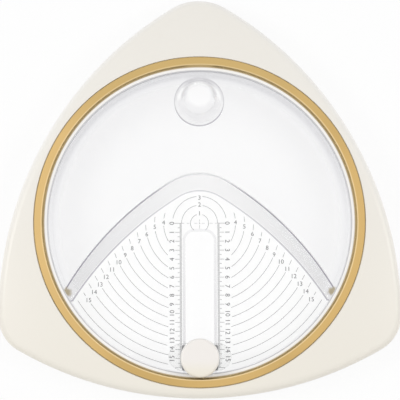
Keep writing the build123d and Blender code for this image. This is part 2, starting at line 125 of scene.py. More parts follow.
# %% A socket that can stand in a sum
class Socket:
    """One output of a shader node."""

    def __init__(self, network, output):
        self.network = network
        self.output = output

    def math(self, operation, first, second):
        return self.network.node("ShaderNodeMath", {"operation": operation}, {0: first, 1: second})

    def __add__(self, other):
        return self.math("ADD", self, other)

    def __sub__(self, other):
        return self.math("SUBTRACT", self, other)

    def __rsub__(self, other):
        return self.math("SUBTRACT", other, self)

    def __mul__(self, other):
        return self.math("MULTIPLY", self, other)

    def __truediv__(self, other):
        return self.math("DIVIDE", self, other)

    def __lt__(self, other):
        return self.math("LESS_THAN", self, other)

    def __gt__(self, other):
        return self.math("GREATER_THAN", self, other)

    def __abs__(self):
        return self.math("ABSOLUTE", self, 0)

    __radd__ = __add__
    __rmul__ = __mul__


# %% A network of nodes
class Network:
    """The nodes of a material or of the world."""

    def __init__(self, tree):
        self.tree = tree
        self.nodes = tree.nodes

    def node(self, kind, settings=None, inputs=None, output=0):
        """Adds a node: settings first, then the values or links of its sockets."""
        node = self.nodes.new(kind)
        for name, value in (settings or {}).items():
            setattr(node, name, value)
        for socket, value in (inputs or {}).items():
            self.feed(node.inputs[socket], value)
        return Socket(self, node.outputs[output])

    def feed(self, socket, value):
        """Links a socket, or sets its constant."""
        if isinstance(value, Socket):
            self.tree.links.new(value.output, socket)
        else:
            socket.default_value = value

    def mix(self, share, first, second):
        """Mixes two shaders: nought is all first, and one is all second."""
        return self.node("ShaderNodeMixShader", {}, {0: share, 1: first, 2: second})

    def ramp(self, value, low, high, start=0.0, end=1.0):
        """Takes a value from start to end as it goes from low to high, and holds it outside them."""
        settings = {"interpolation_type": "SMOOTHSTEP"}
        inputs = {"Value": value, "From Min": low, "From Max": high, "To Min": start, "To Max": end}
        return self.node("ShaderNodeMapRange", settings, inputs)

    def rays(self, *kinds):
        """One for rays of the given kinds, and nought for all others."""
        found = [self.node("ShaderNodeLightPath", output=f"Is {kind} Ray") for kind in kinds]
        return self.node("ShaderNodeClamp", {}, {"Value": sum(found[1:], found[0])})


# %% A finish: one shader and what feeds it
# The first three say how much finer detail a noise has, and the fourth is its mean value
soft_noise, plain_noise, fine_noise, noise_middle = 1.0, 2.0, 3.0, 0.5
line_core, line_end = 0.3, 0.7


class Finish(Network):
    """A material with one Principled shader."""

    def __init__(self, name, constants):
        self.material = bpy.data.materials.new(name)
        self.material.use_nodes = True
        super().__init__(self.material.node_tree)
        self.shader = self.nodes["Principled BSDF"]
        for socket, value in constants.items():
            self.shader.inputs[socket].default_value = value

    def place(self):
        """Where a point is on the object, in metres."""
        return self.node("ShaderNodeTexCoord", output="Object")

    def noise(self, size, detail=plain_noise):
        """Soft random pattern whose features are about size across."""
        inputs = {"Vector": self.place(), "Scale": 1 / size, "Detail": detail}
        return self.node("ShaderNodeTexNoise", {}, inputs)

    def vector(self, operation, first, second, output=0):
        """Sum or measure of two vectors."""
        return self.node("ShaderNodeVectorMath", {"operation": operation}, {0: first, 1: second}, output)

    def part(self, vector, axis):
        """One of the three numbers of a vector."""
        return self.node("ShaderNodeSeparateXYZ", {}, {0: vector}, axis)

    def plan(self):
        """Where a point is seen from above, from the disc's axis."""
        return self.vector("MULTIPLY", self.vector("SUBTRACT", self.place(), tuple(disc_middle)), (1, 1, 0))

    def folded(self, spot):
        """The same spot on the right-hand half, for patterns that are mirror images."""
        inputs = {0: abs(self.part(spot, "X")), 1: self.part(spot, "Y")}
        return self.node("ShaderNodeCombineXYZ", {}, inputs)

    def away(self, spot, middle=(0, 0)):
        """Distance in plan between a spot and a middle."""
        return self.vector("DISTANCE", spot, (*middle, 0), "Value")

    def least(self, first, second):
        """The smaller of two numbers."""
        return self.node("ShaderNodeMath", {"operation": "MINIMUM"}, {0: first, 1: second})

    def most(self, first, second):
        """The larger of two numbers."""
        return self.node("ShaderNodeMath", {"operation": "MAXIMUM"}, {0: first, 1: second})

    def line(self, distance, width):
        """One on a line where distance is nought, with soft sides that end inside its width."""
        return self.ramp(abs(distance), width * line_core, width * line_end, 1.0, 0.0)

    def facing(self, axis):
        """How far a face looks along one of the object's axes, from -1 to 1."""
        return self.part(self.node("ShaderNodeTexCoord", output="Normal"), axis)

    def steep(self):
        """One on upright walls, and nought on faces that look straight up or down."""
        height = self.facing("Z")
        return 1 - height * height

    def blend(self, share, first, second):
        """Mixes two colours."""
        return self.node("ShaderNodeMix", {"data_type": "RGBA"}, {0: share, 6: first, 7: second}, output=2)

    def bump(self, height, depth):
        """Small relief, depth metres deep where height is 1."""
        relief = self.node("ShaderNodeBump", {}, {"Height": height, "Distance": depth, "Strength": 1.0})
        self.feed(self.shader.inputs["Normal"], relief)

    def set(self, socket, value):
        """Feeds one socket of the Principled shader."""
        self.feed(self.shader.inputs[socket], value)


def seen(red, green, blue):
    """Colour as it looks on a screen, from 0 to 255, as the linear light that shaders use."""
    parts = [part / 255 for part in (red, green, blue)]
    return tuple(p / 12.92 if p <= 0.04045 else ((p + 0.055) / 1.055) ** 2.4 for p in parts) + (1.0,)


# %% [markdown]
# ## Ivory and cream plastic
# The frame is moulded in a satin ivory plastic. Real moulded plastic is never one flat colour:
# it has a fine spark-eroded grain, slightly uneven gloss and a faint drift in its shade. Three
# noises at three sizes give those, all measured in real millimetres. The near side is a little
# warmer. Its rounded edges are painted darker and warmer still, a painted shade, while the other
# edges are painted paler, a painted reflection of the white table. The lip inside the gold ring is
# painted nearly white, with painted shade and a painted shadow of the ring at its edges.

# %% Zones of the moulded plastics
lip_reach, lip_bottom = 85.6 * MM, 15 * MM
lip_edge_fade = (lip_reach - 2.1 * MM, lip_reach - 1.7 * MM)
lip_corner_fade = (lip_reach - 0.8 * MM, lip_reach - 0.4 * MM)
# Painted light on the lip: a grey painted shade at its inner edge, a nearly white painted highlight on its
# top, a tan painted shadow and reflection of the gold ring at its outer corner, and nearly white painted
# light on the well below it.
lip_edge_shade, lip_top_light, lip_corner_shadow = seen(206, 206, 208), seen(252, 251, 249), seen(206, 192, 164)
well_light = seen(252, 252, 251)
near_edge_fade = (-0.5, 0.0, 1.0, 0.0)


def near_and_side(finish, near, side):
    """Painted light on the rounded edges: a painted shade on those that face the near side, and a painted
    reflection of the white table on all others.
    """
    return finish.blend(finish.ramp(finish.facing("Y"), *near_edge_fade), side, near)


def warmer(finish, colour, near, far, tone):
    """The colour turned towards a warmer tone on the near side."""
    share = finish.ramp(finish.part(finish.plan(), "Y"), near, far, 1.0, 0.0)
    return finish.blend(share, colour, seen(*tone))


def with_lip(finish, colour):
    """The colour with painted light on the lip inside the gold ring: painted shade at its inner edge, a
    painted highlight on top, a painted shadow and reflection of the ring at its outer corner, and the well
    below it painted nearly white.
    """
    radius = finish.away(finish.plan())
    pale = finish.blend(finish.ramp(radius, *lip_edge_fade), lip_edge_shade, lip_top_light)
    pale = finish.blend(finish.ramp(radius, *lip_corner_fade), pale, lip_corner_shadow)
    pale = finish.blend(finish.part(finish.place(), "Z") > lip_bottom, well_light, pale)
    return finish.blend(radius < lip_reach, colour, pale)


# %% Satin moulded plastics
plastic_gloss = {"Specular IOR Level": 0.5, "IOR": 1.5}
drift_size, speckle_size, gloss_size = 60 * MM, 3 * MM, 9 * MM
drift_share, speckle_share, gloss_swing = 0.7, 0.3, 0.12
rounded_fade, edge_share = (0.03, 0.5), 0.7
usual_grain, usual_relief = 0.6 * MM, 0.012 * MM


def moulded_plastic(
    name, tones, roughness, grain=usual_grain, relief=usual_relief, side=None, warm=None, lip=False
):
    """Satin plastic that drifts between its first two tones and has the third on its rounded edges."""
    finish = Finish(name, plastic_gloss)
    main, shade, edge = [seen(*tone) for tone in tones]
    drift = finish.noise(drift_size, soft_noise) * drift_share
    speckle = finish.noise(speckle_size, fine_noise) * speckle_share
    colour = finish.blend(drift + speckle, main, shade)
    # On the ivory the edge tones are painted shade on the near edges and a painted reflection on the
    # others; on the cream they are a painted highlight.
    if side:
        edge = near_and_side(finish, edge, seen(*side))
    colour = finish.blend(finish.ramp(finish.steep(), *rounded_fade) * edge_share, colour, edge)
    if warm:
        colour = warmer(finish, colour, *warm)
    if lip:
        colour = with_lip(finish, colour)
    finish.set("Base Color", colour)
    finish.set("Roughness", roughness + (finish.noise(gloss_size, fine_noise) - noise_middle) * gloss_swing)
    finish.bump(finish.noise(grain, fine_noise), relief)
    return finish.material


# %% Mix the moulded plastics
# Each third tone is for the rounded edges: a darker painted shade on the ivory, a paler painted highlight
# on the cream. The ivory's other edges get a paler painted reflection.
ivory = (244, 241, 234), (239, 235, 227), (238, 232, 215)
ivory_side_sheen, ivory_warm = (253, 251, 247), (-100 * MM, 60 * MM, (242, 237, 226))
cream = (248, 244, 240), (245, 240, 234), (253, 250, 245)
knob_low, knob_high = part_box("press_knob")
knob_near, knob_middle = knob_low.y - disc_middle.y, (knob_low.y + knob_high.y) / 2 - disc_middle.y
# The cream knob's near half turns to a darker, warmer tone: a painted shade.
cream_near_shade = (knob_near, knob_middle, (243, 237, 221))
holder = (92, 92, 95), (80, 80, 84), (100, 100, 104)
rubber = (96, 95, 93), (80, 79, 78), (92, 91, 90)
rubber_grain, rubber_relief = 0.4 * MM, 0.03 * MM

ivory_plastic = moulded_plastic("ivory_plastic", ivory, 0.38, side=ivory_side_sheen, warm=ivory_warm, lip=True)
cream_plastic = moulded_plastic("cream_plastic", cream, 0.34, warm=cream_near_shade)
holder_plastic = moulded_plastic("holder_plastic", holder, 0.4)
foot_rubber = moulded_plastic("foot_rubber", rubber, 0.75, rubber_grain, rubber_relief)
print("mixed four moulded finishes")

# %% [markdown]
# ## Gold trim
# The ring round the disc is satin gold, turned on a lathe-like tool, so its finest lines run round
# with the ring. A noise that depends only on the distance from the disc's axis makes such lines.
# A narrow line along its inner side has a painted highlight, its left side is painted lighter and
# its far side darker, as painted light and shade, and its bevels and edges are painted paler. Those
# zones follow the slope of the face and plain distances.

# %% Satin gold with turned lines
turned_pitch, turned_depth, wear_size, patch_size = 0.2 * MM, 0.01 * MM, 14 * MM, 55 * MM
patch_fade, sloped_light_fade = (0.35, 0.65), (0.05, 0.2)
inner_highlight_fade = (86.7 * MM, 87.2 * MM, 1.0, 0.0)
left_light_fade, gold_far_fade = (-95 * MM, -30 * MM, 0.42, 0.0), (25 * MM, 75 * MM, 0.0, 0.3)
gold_dark, gold_light, gold_worn = seen(203, 171, 111), seen(217, 183, 121), seen(196, 163, 103)
gold_inner_highlight, gold_left_light = seen(233, 206, 156), seen(236, 202, 143)
gold_far_shade, gold_sloped_light = seen(190, 170, 118), seen(213, 186, 132)
wear_share, turned_share = 0.3, 0.4
gold_roughness, turned_swing, wear_swing = 0.3, 0.1, 0.08


def turned_gold():
    """Gold whose fine lines follow the ring, with painted highlight, light and shade."""
    finish = Finish("gold_trim", {"Metallic": 1.0})
    radius = finish.away(finish.plan())
    pattern = {"W": radius, "Scale": 1 / turned_pitch, "Detail": plain_noise}
    lines = finish.node("ShaderNodeTexNoise", {"noise_dimensions": "1D"}, pattern)
    wear = finish.noise(wear_size, fine_noise)
    patches = finish.ramp(finish.noise(patch_size), *patch_fade)
    colour = finish.blend(patches, gold_dark, gold_light)
    colour = finish.blend(wear * wear_share + lines * turned_share, colour, gold_worn)
    # Painted highlight along the inner side, painted light on the left, painted shade on the far side, and
    # paler painted light on bevels and edges.
    colour = finish.blend(finish.ramp(radius, *inner_highlight_fade), colour, gold_inner_highlight)
    colour = finish.blend(finish.ramp(finish.part(finish.place(), "X"), *left_light_fade), colour, gold_left_light)
    colour = finish.blend(finish.ramp(finish.part(finish.place(), "Y"), *gold_far_fade), colour, gold_far_shade)
    colour = finish.blend(finish.ramp(finish.steep(), *sloped_light_fade), colour, gold_sloped_light)
    finish.set("Base Color", colour)
    worn = (wear - noise_middle) * wear_swing
    finish.set("Roughness", gold_roughness + lines * turned_swing + worn)
    finish.bump(lines, turned_depth)
    return finish.material


gold_trim = turned_gold()
print("turned the gold")

# %% [markdown]
# ## Clear plastic
# The disc and the carriage are clear acrylic. Light goes through the thin walls, and bends at their
# edges. A perfect glass shader shows every edge as a black line, as a massive crystal would. Thin
# moulded walls scatter a little light inside, which lifts those lines to grey, so part of each face
# is simply see-through. Steep walls, the thin lines where two walls meet, the dome's rim and far
# side, the slot's edge and the finger knob's far side are darkened with painted shade. Plain
# geometry tells where that is: the distance from the sloping wall's foot, from the dome's rim and
# from the finger knob. Most of the functions below say how much painted shade one such zone gets,
# from nought to one.

# %% The sloping wall
skin_depth = 0.9 * MM
wall_fade = (0, 70 * MM, 0.035, 0.2)
top_line_width, top_line_fade = 1.2 * MM, (10 * MM, 30 * MM, 0.35, 0.95)
foot_line_width, foot_line_fade = 0.8 * MM, (10 * MM, 60 * MM, 0.4, 0.55)


def past_wall(finish, spot):
    """Distance in plan from the sloping wall's foot, positive on the dome's side."""
    across, along = abs(finish.part(spot, "X")), finish.part(spot, "Y")
    folded = finish.folded(spot)
    crest = finish.away(folded, crest_middle) - crest_radius
    flank = finish.away(folded, flank_middle) - flank_radius
    on_crest = across * math.cos(crest_turn) < (along - crest_middle.y) * math.sin(crest_turn)
    return on_crest * crest + (1 - on_crest) * flank


def wall_shade(finish, spot, radius):
    """Painted shade on the sloping wall and painted dark lines where it meets the floor and the dome, on
    the outer skin only.
    """
    across = abs(finish.part(spot, "X"))
    past = past_wall(finish, spot)
    dome_height = dome_top - radius * radius / (2 * dome_curve)
    wall_height = floor_top + past / math.tan(wall_draft)
    skin = finish.least(dome_height, wall_height) - skin_depth
    outer_skin = skin < finish.part(finish.place(), "Z")
    wall = (past > 0) * (wall_height < dome_height) * finish.ramp(across, *wall_fade)
    top_line = finish.line(dome_height - wall_height, top_line_width) * finish.ramp(across, *top_line_fade)
    foot_line = finish.line(past, foot_line_width) * finish.ramp(across, *foot_line_fade)
    return outer_skin * (wall + top_line + foot_line)


# %% The dome and the slot
dome_low_fade, dome_wall_fade = (8 * MM, 9 * MM), (4 * MM, 7 * MM)
dome_far_fade = (-10 * MM, 50 * MM, 0.15, 1.0)
wide_rim_fade, wide_rim_shade = (48 * MM, 74 * MM), 0.018
narrow_rim_fade, narrow_rim_shade = (76 * MM, 83 * MM), 0.09
dome_least_shade = 0.03
slot_half, slot_top, slot_round = 7.9 * MM, -4.6 * MM, 5 * MM
slot_line_out, slot_line_width = 0.7 * MM, 1.6 * MM
slot_line_fade = (-60 * MM, -5 * MM, 0.16, 0.08)


def dome_shade(finish, spot, radius):
    """Painted shade on the dome, darker towards its rim and most on the far side."""
    on_dome = finish.ramp(finish.part(finish.place(), "Z"), *dome_low_fade)
    clear_of_wall = finish.ramp(past_wall(finish, spot), *dome_wall_fade)
    level = 1 - finish.steep()
    far = finish.ramp(finish.part(spot, "Y"), *dome_far_fade)
    wide = finish.ramp(radius, *wide_rim_fade) * (far + 1) * wide_rim_shade
    narrow = finish.ramp(radius, *narrow_rim_fade) * far * narrow_rim_shade
    return on_dome * clear_of_wall * level * (wide + narrow + dome_least_shade)


def slot_shade(finish, spot):
    """Painted soft shade round the slot's arch and along its sides."""
    corner = (slot_half - slot_round, slot_top - slot_round, 0)
    past = finish.vector("SUBTRACT", finish.folded(spot), corner)
    past = finish.vector("MAXIMUM", past, (0, 0, 0))
    dark = finish.ramp(finish.part(spot, "Y"), *slot_line_fade)
    return finish.line(finish.away(past) - slot_round - slot_line_out, slot_line_width) * dark


# %% The finger knob
glint_radius, glint_width = 11.0 * MM, 2.6 * MM
glint_along, glint_length = 3.6 * MM, 8.5 * MM
finger_top_shift, finger_side_fade = 2.2 * MM, (5.5 * MM, 8.5 * MM)
finger_near_fade, finger_far_fade = (-1.5 * MM, 1.5 * MM, 0.08, 0.17), (2 * MM, 10 * MM, 0.0, 0.08)
finger_line_width, finger_line_fade = 0.5 * MM, (-12 * MM, 4 * MM, 0.5, 0.1)


def finger_glint(finish, spot):
    """A painted glint: a clear streak on the left and on the right side of the finger knob."""
    streak = finish.line(finish.away(spot, finger_middle) - glint_radius, glint_width)
    return streak * finish.line(finish.part(spot, "Y") - finger_middle.y - glint_along, glint_length)


def finger_shade(finish, spot):
    """Painted shade on the finger knob: clear top, darker far side and a painted dark line round its foot.
    """
    along = finish.part(spot, "Y") - finger_middle.y
    round_top = finger_middle + Vector((0, finger_top_shift))
    side = finish.ramp(finish.away(spot, round_top), *finger_side_fade)
    dark = finish.ramp(along, *finger_near_fade) + finish.ramp(along, *finger_far_fade)
    foot = finish.line(finish.away(spot, finger_middle) - finger_foot, finger_line_width)
    line = foot * finish.ramp(along, *finger_line_fade)
    return side * dark * (1 - finger_glint(finish, spot)) + line


# %% [markdown]
# ### Painted light in the rim
# The outer skin round the dome's rim gets a soft glow, a painted light made with emission, standing
# for light that clear plastic carries inside it, as a glass fibre does, and lets out where it curves
# down. The glow is greyer, a painted shade, at the foot and on the far side. At each end of the
# sloping wall three walls meet, and a small ragged olive patch there is a painted reflection of the
# gold ring.

# %% The rim
# The second and third tints are those of the painted shade on the disc and on the carriage.
clear_tint, disc_shade_tint, rider_shade_tint = (253, 253, 253), (151, 148, 160), (152, 155, 147)
# Tones of the painted glow: light, shaded, and the painted olive reflection of the gold ring.
rim_glow_light, rim_glow_shade, rim_ring_reflection = (249, 249, 250), (227, 227, 229), (178, 167, 142)
rim_drop_fade = (dome_shoulder, dome_rim, 0.0, 3.8 * MM)
rim_fade, rim_foot_fade = (76 * MM, 79 * MM, 0.0, 0.8), (78 * MM, 82.5 * MM)
rim_far_fade = (-10 * MM, 50 * MM, 0.35, 1.0)
# Where the painted olive reflection of the gold ring lies, and how ragged and strong it is.
wall_end = (73.2 * MM, -38.3 * MM)
ring_reflection_grain, ring_reflection_raggedness = 2.5 * MM, 3 * MM
ring_reflection_fade, ring_reflection_share = (1.2 * MM, 3.2 * MM, 1.0, 0.0), 0.85


def wall_corner(finish, spot):
    """One where the sloping wall's end meets the rim, and nought away from it: where the painted reflection
    of the gold ring goes.
    """
    ragged = (finish.noise(ring_reflection_grain) - noise_middle) * ring_reflection_raggedness
    return finish.ramp(finish.away(finish.folded(spot), wall_end) + ragged, *ring_reflection_fade)


def rim_share(finish, spot, radius):
    """Share of the outer skin that gets the painted glow round the dome's rim, and the painted reflection
    where the wall ends in it.
    """
    drop = finish.ramp(radius, *rim_drop_fade)
    skin = dome_top - radius * radius / (2 * dome_curve) - skin_depth - drop
    outer_skin = skin < finish.part(finish.place(), "Z")
    rim = outer_skin * finish.ramp(radius, *rim_fade)
    return finish.most(rim, wall_corner(finish, spot) * ring_reflection_share)


def rim_glow(finish, spot, radius, shade):
    """Painted light: an emission glow at the rim, with painted shade at the foot and on the far side, and a
    painted olive reflection of the gold ring at the wall's ends.
    """
    far = finish.ramp(finish.part(spot, "Y"), *rim_far_fade)
    foot = finish.ramp(radius, *rim_foot_fade)
    tones = rim_glow_light, rim_glow_shade, disc_shade_tint, rim_ring_reflection
    lights = [finish.node("ShaderNodeEmission", {}, {"Color": seen(*tone)}) for tone in tones]
    pale, dull, deep, olive = lights
    glow = finish.mix(shade, finish.mix(far * foot, pale, dull), deep)
    return finish.mix(wall_corner(finish, spot), glow, olive)


# %% [markdown]
# ### The acrylic itself
# Bent and see-through plastic are mixed in shares, and both get greyer with the painted shade. For
# shadows the plastic is see-through all over, because a renderer otherwise treats any glass as a
# wall for its lamps. The carriage is a thicker moulding, so it has a recipe of its own, without the
# painted glow of the rim.

# %% Clear acrylic
acrylic_gloss = {"IOR": 1.46, "Transmission Weight": 1.0}
haze_size, haze = 20 * MM, 0.02


def acrylic(name, shade_of, share_of, shade_tint, rim=False):
    """Acrylic that bends what is seen through it, lets lamps shine through and may have a painted glow at
    its rim.
    """
    finish = Finish(name, acrylic_gloss)
    finish.set("Roughness", finish.noise(haze_size) * haze)
    spot = finish.plan()
    radius = finish.away(spot)
    # The shade is painted shade: it greys both the colour and the see-through part.
    shade = finish.node("ShaderNodeClamp", {}, {"Value": shade_of(finish, spot, radius)})
    finish.set("Base Color", finish.blend(shade, seen(*clear_tint), seen(*shade_tint)))
    clear = finish.node("ShaderNodeBsdfTransparent", {}, {"Color": seen(*clear_tint)})
    deep = finish.node("ShaderNodeBsdfTransparent", {}, {"Color": seen(*shade_tint)})
    thin = finish.mix(shade, clear, deep)
    shadow = finish.node("ShaderNodeLightPath", output="Is Shadow Ray")
    share = finish.most(shadow, share_of(finish, spot, radius))
    whole = finish.mix(share, Socket(finish, finish.shader.outputs[0]), thin)
    if rim:
        whole = finish.mix(rim_share(finish, spot, radius), whole, rim_glow(finish, spot, radius, shade))
    finish.feed(finish.nodes["Material Output"].inputs["Surface"], whole)
    return finish.material


# %% Recipes for the disc and the carriage
finger_margin = 0.3 * MM
thin_floor, thin_walls, thin_rim, thin_rider = 0.5, 0.88, 0.97, 0.4
wall_side_fade, wall_steep_fade, outside_fade = (-1 * MM, 0), (0.02, 0.2), (77 * MM, 79 * MM)
rider_fade = (0.2, 0.8, 0.04, 0.2)


def disc_shade(finish, spot, radius):
    """Where the disc gets painted shade."""
    on_finger = finish.away(spot, finger_middle) < finger_foot + finger_margin
    elsewhere = wall_shade(finish, spot, radius) + dome_shade(finish, spot, radius)
    elsewhere = elsewhere + slot_shade(finish, spot)
    return on_finger * finger_shade(finish, spot) + (1 - on_finger) * elsewhere


def disc_share(finish, spot, radius):
    """Share of the disc that is simply see-through: more of it in steep walls and at the rim, and all of it
    in the painted glint.
    """
    beyond = finish.ramp(past_wall(finish, spot), *wall_side_fade)
    walls = beyond * finish.ramp(finish.steep(), *wall_steep_fade)
    share = thin_floor + walls * (thin_walls - thin_floor)
    outside = finish.ramp(radius, *outside_fade)
    share = outside * thin_rim + (1 - outside) * share
    return finish.most(share, finger_glint(finish, spot))


def rider_shade(finish, spot, radius):
    """Painted shade on the carriage's upright edges."""
    return finish.ramp(finish.steep(), *rider_fade)


def rider_share(finish, spot, radius):
    """The carriage is thicker, so it bends more of what is seen through it."""
    return thin_rider


clear_plastic = acrylic("clear_plastic", disc_shade, disc_share, disc_shade_tint, rim=True)
rider_plastic = acrylic("rider_plastic", rider_shade, rider_share, rider_shade_tint)
print("mixed two clear finishes")

# %% [markdown]
# ## Steel and ink
# Screws, springs and the blade are steel. The scale is printed in a thin dark grey ink.

# %% Steel and ink
steel_drop, steel_swing, steel_relief = 16, 0.12, 0.004 * MM


def steel(name, tone, roughness, size):
    """Bare or plated steel with a fine uneven polish."""
    finish = Finish(name, {"Metallic": 1.0})
    polish = finish.noise(size, fine_noise)
    dull = [part - steel_drop for part in tone]
    finish.set("Base Color", finish.blend(polish, seen(*tone), seen(*dull)))
    finish.set("Roughness", roughness + polish * steel_swing)
    finish.bump(polish, steel_relief)
    return finish.material


plated_steel = steel("plated_steel", (205, 206, 208), 0.18, 0.8 * MM)
spring_steel = steel("spring_steel", (150, 150, 152), 0.3, 0.5 * MM)
blade_steel = steel("blade_steel", (190, 192, 196), 0.22, 0.3 * MM)

ink = (86, 86, 90), (98, 98, 102), (92, 92, 96)
ink_grain, ink_relief = 0.2 * MM, 0.003 * MM
printed_ink = moulded_plastic("printed_ink", ink, 0.55, ink_grain, ink_relief)
print("mixed three steels and the ink")

# %% Give the construction pieces their finishes
finishes = {
    "ivory_plastic": ivory_plastic,
    "gold_trim": gold_trim,
    "clear_plastic": clear_plastic,
    "cream_plastic": cream_plastic,
    "holder_plastic": holder_plastic,
    "foot_rubber": foot_rubber,
    "plated_steel": plated_steel,
    "spring_steel": spring_steel,
    "blade_steel": blade_steel,
}
slot_of = {row["node"]: row["material_slot"] for row in frame["record"]["subparts"]}
own_finish = {"carriage_plate": rider_plastic, "carriage_shoe": rider_plastic}
for name, node in frame["nodes"].items():
    node.data.materials.clear()
    node.data.materials.append(own_finish.get(name, finishes[slot_of[name]]))
print("finishes on", len(slot_of), "pieces")

# %% [markdown]
# ## Printing the scale
# The scale is a thin film of ink on the disc's sunk floor. Each arc starts as a circle of points,
# loses the points where there is a gap, and is drawn out into a narrow band. The film gets a real,
# if tiny, thickness, so that it is a closed solid like any other piece.

# %% Small helpers for modelling
ink_height = floor_top + 0.01 * MM
ink_thickness = 0.03 * MM
line_width = 0.2 * MM


def alone(piece):
    """Selects one piece and nothing else."""
    bpy.ops.object.select_all(action="DESELECT")
    piece.select_set(True)
    bpy.context.view_layer.objects.active = piece


def edit(piece, points=None):
    """Opens a piece for editing, and selects the points for which points(place) is true, or none."""
    alone(piece)
    bpy.ops.object.mode_set(mode="EDIT")
    bpy.ops.mesh.select_mode(type="VERT")
    bpy.ops.mesh.select_all(action="DESELECT")
    if points:
        bpy.ops.object.mode_set(mode="OBJECT")
        for point in piece.data.vertices:
            point.select = bool(points(point.co))
        bpy.ops.object.mode_set(mode="EDIT")


def face_outwards():
    """Turns all faces of the piece that is open for editing outwards, and ends the editing."""
    bpy.ops.mesh.select_all(action="SELECT")
    bpy.ops.mesh.normals_make_consistent(inside=False)
    bpy.ops.object.mode_set(mode="OBJECT")


def settle(piece):
    """Moves a piece's place, turn and scale into its mesh."""
    alone(piece)
    bpy.ops.object.transform_apply(location=True, rotation=True, scale=True)


def thicken(piece, thickness):
    """Gives a flat film its thickness, upwards."""
    alone(piece)
    film = piece.modifiers.new("film", "SOLIDIFY")
    film.thickness = thickness
    film.offset = 1.0
    bpy.ops.object.modifier_apply(modifier=film.name)


def join(name, pieces):
    """Joins pieces into one with a new name."""
    alone(pieces[0])
    for piece in pieces:
        piece.select_set(True)
    bpy.ops.object.join()
    pieces[0].name = pieces[0].data.name = name
    return pieces[0]


def print_on_disc(piece):
    """Finishes a piece of print and fixes it to the disc."""
    piece.data.materials.clear()
    piece.data.materials.append(printed_ink)
    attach(piece, "disc")
    print(piece.name, len(piece.data.polygons), "faces")


# %% [markdown]
# ### Arcs
# Arc number n has a radius of n steps of five millimetres, so the number is the diameter in
# centimetres of the circle that is cut. The first three go over the top, and the others start
# beside the sloping wall, leave room for their number, and end beside the ruler. The last arc has
# no number.

# %% Work out where each arc may run
first_beside_wall, last_arc = 4, 16
wall_margin, first_margin = 1.6 * MM, 3.1 * MM
ruler_side = 17.3 * MM
number_run, room_above, room_below = 5.9 * MM, 2.1 * MM, 1.6 * MM
smallest_start, top_gap_share = 0.3, 0.75
over_top_ends = {1: math.radians(141), 2: math.radians(92), 3: math.radians(80)}
half_turn, tries_per_degree = 180, 10


def off_wall(point):
    """Distance of a point of the floor from the sloping wall's foot."""
    from_crest = point - crest_middle
    if abs(math.atan2(from_crest.x, from_crest.y)) < crest_turn:
        return crest_radius - from_crest.length
    return flank_radius - (point - flank_middle).length


def arc_top(number):
    """Angle from straight up at which an arc comes clear of the sloping wall."""
    margin = first_margin if number == first_beside_wall else wall_margin
    angles = (math.radians(tried / tries_per_degree) for tried in range(half_turn * tries_per_degree))
    ways = ((angle, Vector((math.sin(angle), math.cos(angle)))) for angle in angles)
    return next(angle for angle, way in ways if off_wall(way * number * scale_step) > margin)


def arc_spans(number):
    """Pairs of angles from straight up between which an arc is printed on its right-hand side."""
    radius = number * scale_step
    gap = room_above / radius
    if number in over_top_ends:
        start = smallest_start if number == 1 else gap * top_gap_share
        return [(start, over_top_ends[number])]
    top, bottom = arc_top(number), math.pi - math.asin(ruler_side / radius)
    if number == last_arc:
        return [(top, bottom)]
    middle = top + number_run / radius
    return [(top, middle - gap), (middle + room_below / radius, bottom)]


starts = [round(math.degrees(arc_top(number))) for number in range(first_beside_wall, last_arc + 1)]
print("arcs beside the wall start at", starts, "degrees from the top")

# %% Draw one arc as a narrow band
least_points, points_per_step = 96, 24


def arc_band(number):
    """A circle of points, cut down to its printed spans and drawn out to the line's width."""
    radius = number * scale_step
    inner, outer = radius - line_width / 2, radius + line_width / 2
    count = least_points + points_per_step * number
    middle = (disc_middle.x, disc_middle.y, ink_height)
    bpy.ops.mesh.primitive_circle_add(vertices=count, radius=inner, location=middle)
    band = bpy.context.object
    settle(band)
    spans = arc_spans(number)

    def left_out(place):
        angle = abs(math.atan2(place.x - disc_middle.x, place.y - disc_middle.y))
        return not any(low <= angle <= high for low, high in spans)

    edit(band, left_out)
    bpy.ops.mesh.delete(type="VERT")
    bpy.ops.mesh.select_all(action="SELECT")
    bpy.ops.mesh.extrude_region_move()
    grow = outer / inner
    bpy.ops.transform.resize(value=(grow, grow, 1), center_override=middle)
    face_outwards()
    if band.data.polygons[0].normal.z < 0:
        band.data.flip_normals()
    thicken(band, ink_thickness)
    return band


arcs = join("scale_arcs", [arc_band(number) for number in range(1, last_arc + 1)])
print_on_disc(arcs)

# %% [markdown]
# ### Ruler lines and crosshair
# A ruler runs down each side of the slot, with a line every half millimetre. One plain strip is
# modelled for each line, at its place and as long as the line.

# %% Draw the ruler lines
ruler_inner, short_end, half_end, long_end = 9.9 * MM, 11.1 * MM, 12.2 * MM, 13.6 * MM
ruler_pitch, ruler_lines, half_every, long_every = 0.5 * MM, 161, 5, 10


def strip(start, end, width):
    """A straight printed line between two points of the floor."""
    way = end - start
    bpy.ops.mesh.primitive_plane_add(size=1, location=(*((start + end) / 2 + disc_middle.xy), ink_height))
    line = bpy.context.object
    line.scale = (way.length, width, 1)
    line.rotation_euler.z = math.atan2(way.y, way.x)
    settle(line)
    return line


lines = []
for side in (-1, 1):
    for tick in range(ruler_lines):
        end = long_end if tick % long_every == 0 else half_end if tick % half_every == 0 else short_end
        y = -tick * ruler_pitch
        lines.append(strip(Vector((side * ruler_inner, y)), Vector((side * short_end, y)), line_width))
        if end > short_end:
            lines.append(strip(Vector((side * short_end, y)), Vector((side * end, y)), line_width))
ruler = join("ruler_lines", lines)
thicken(ruler, ink_thickness)
print_on_disc(ruler)

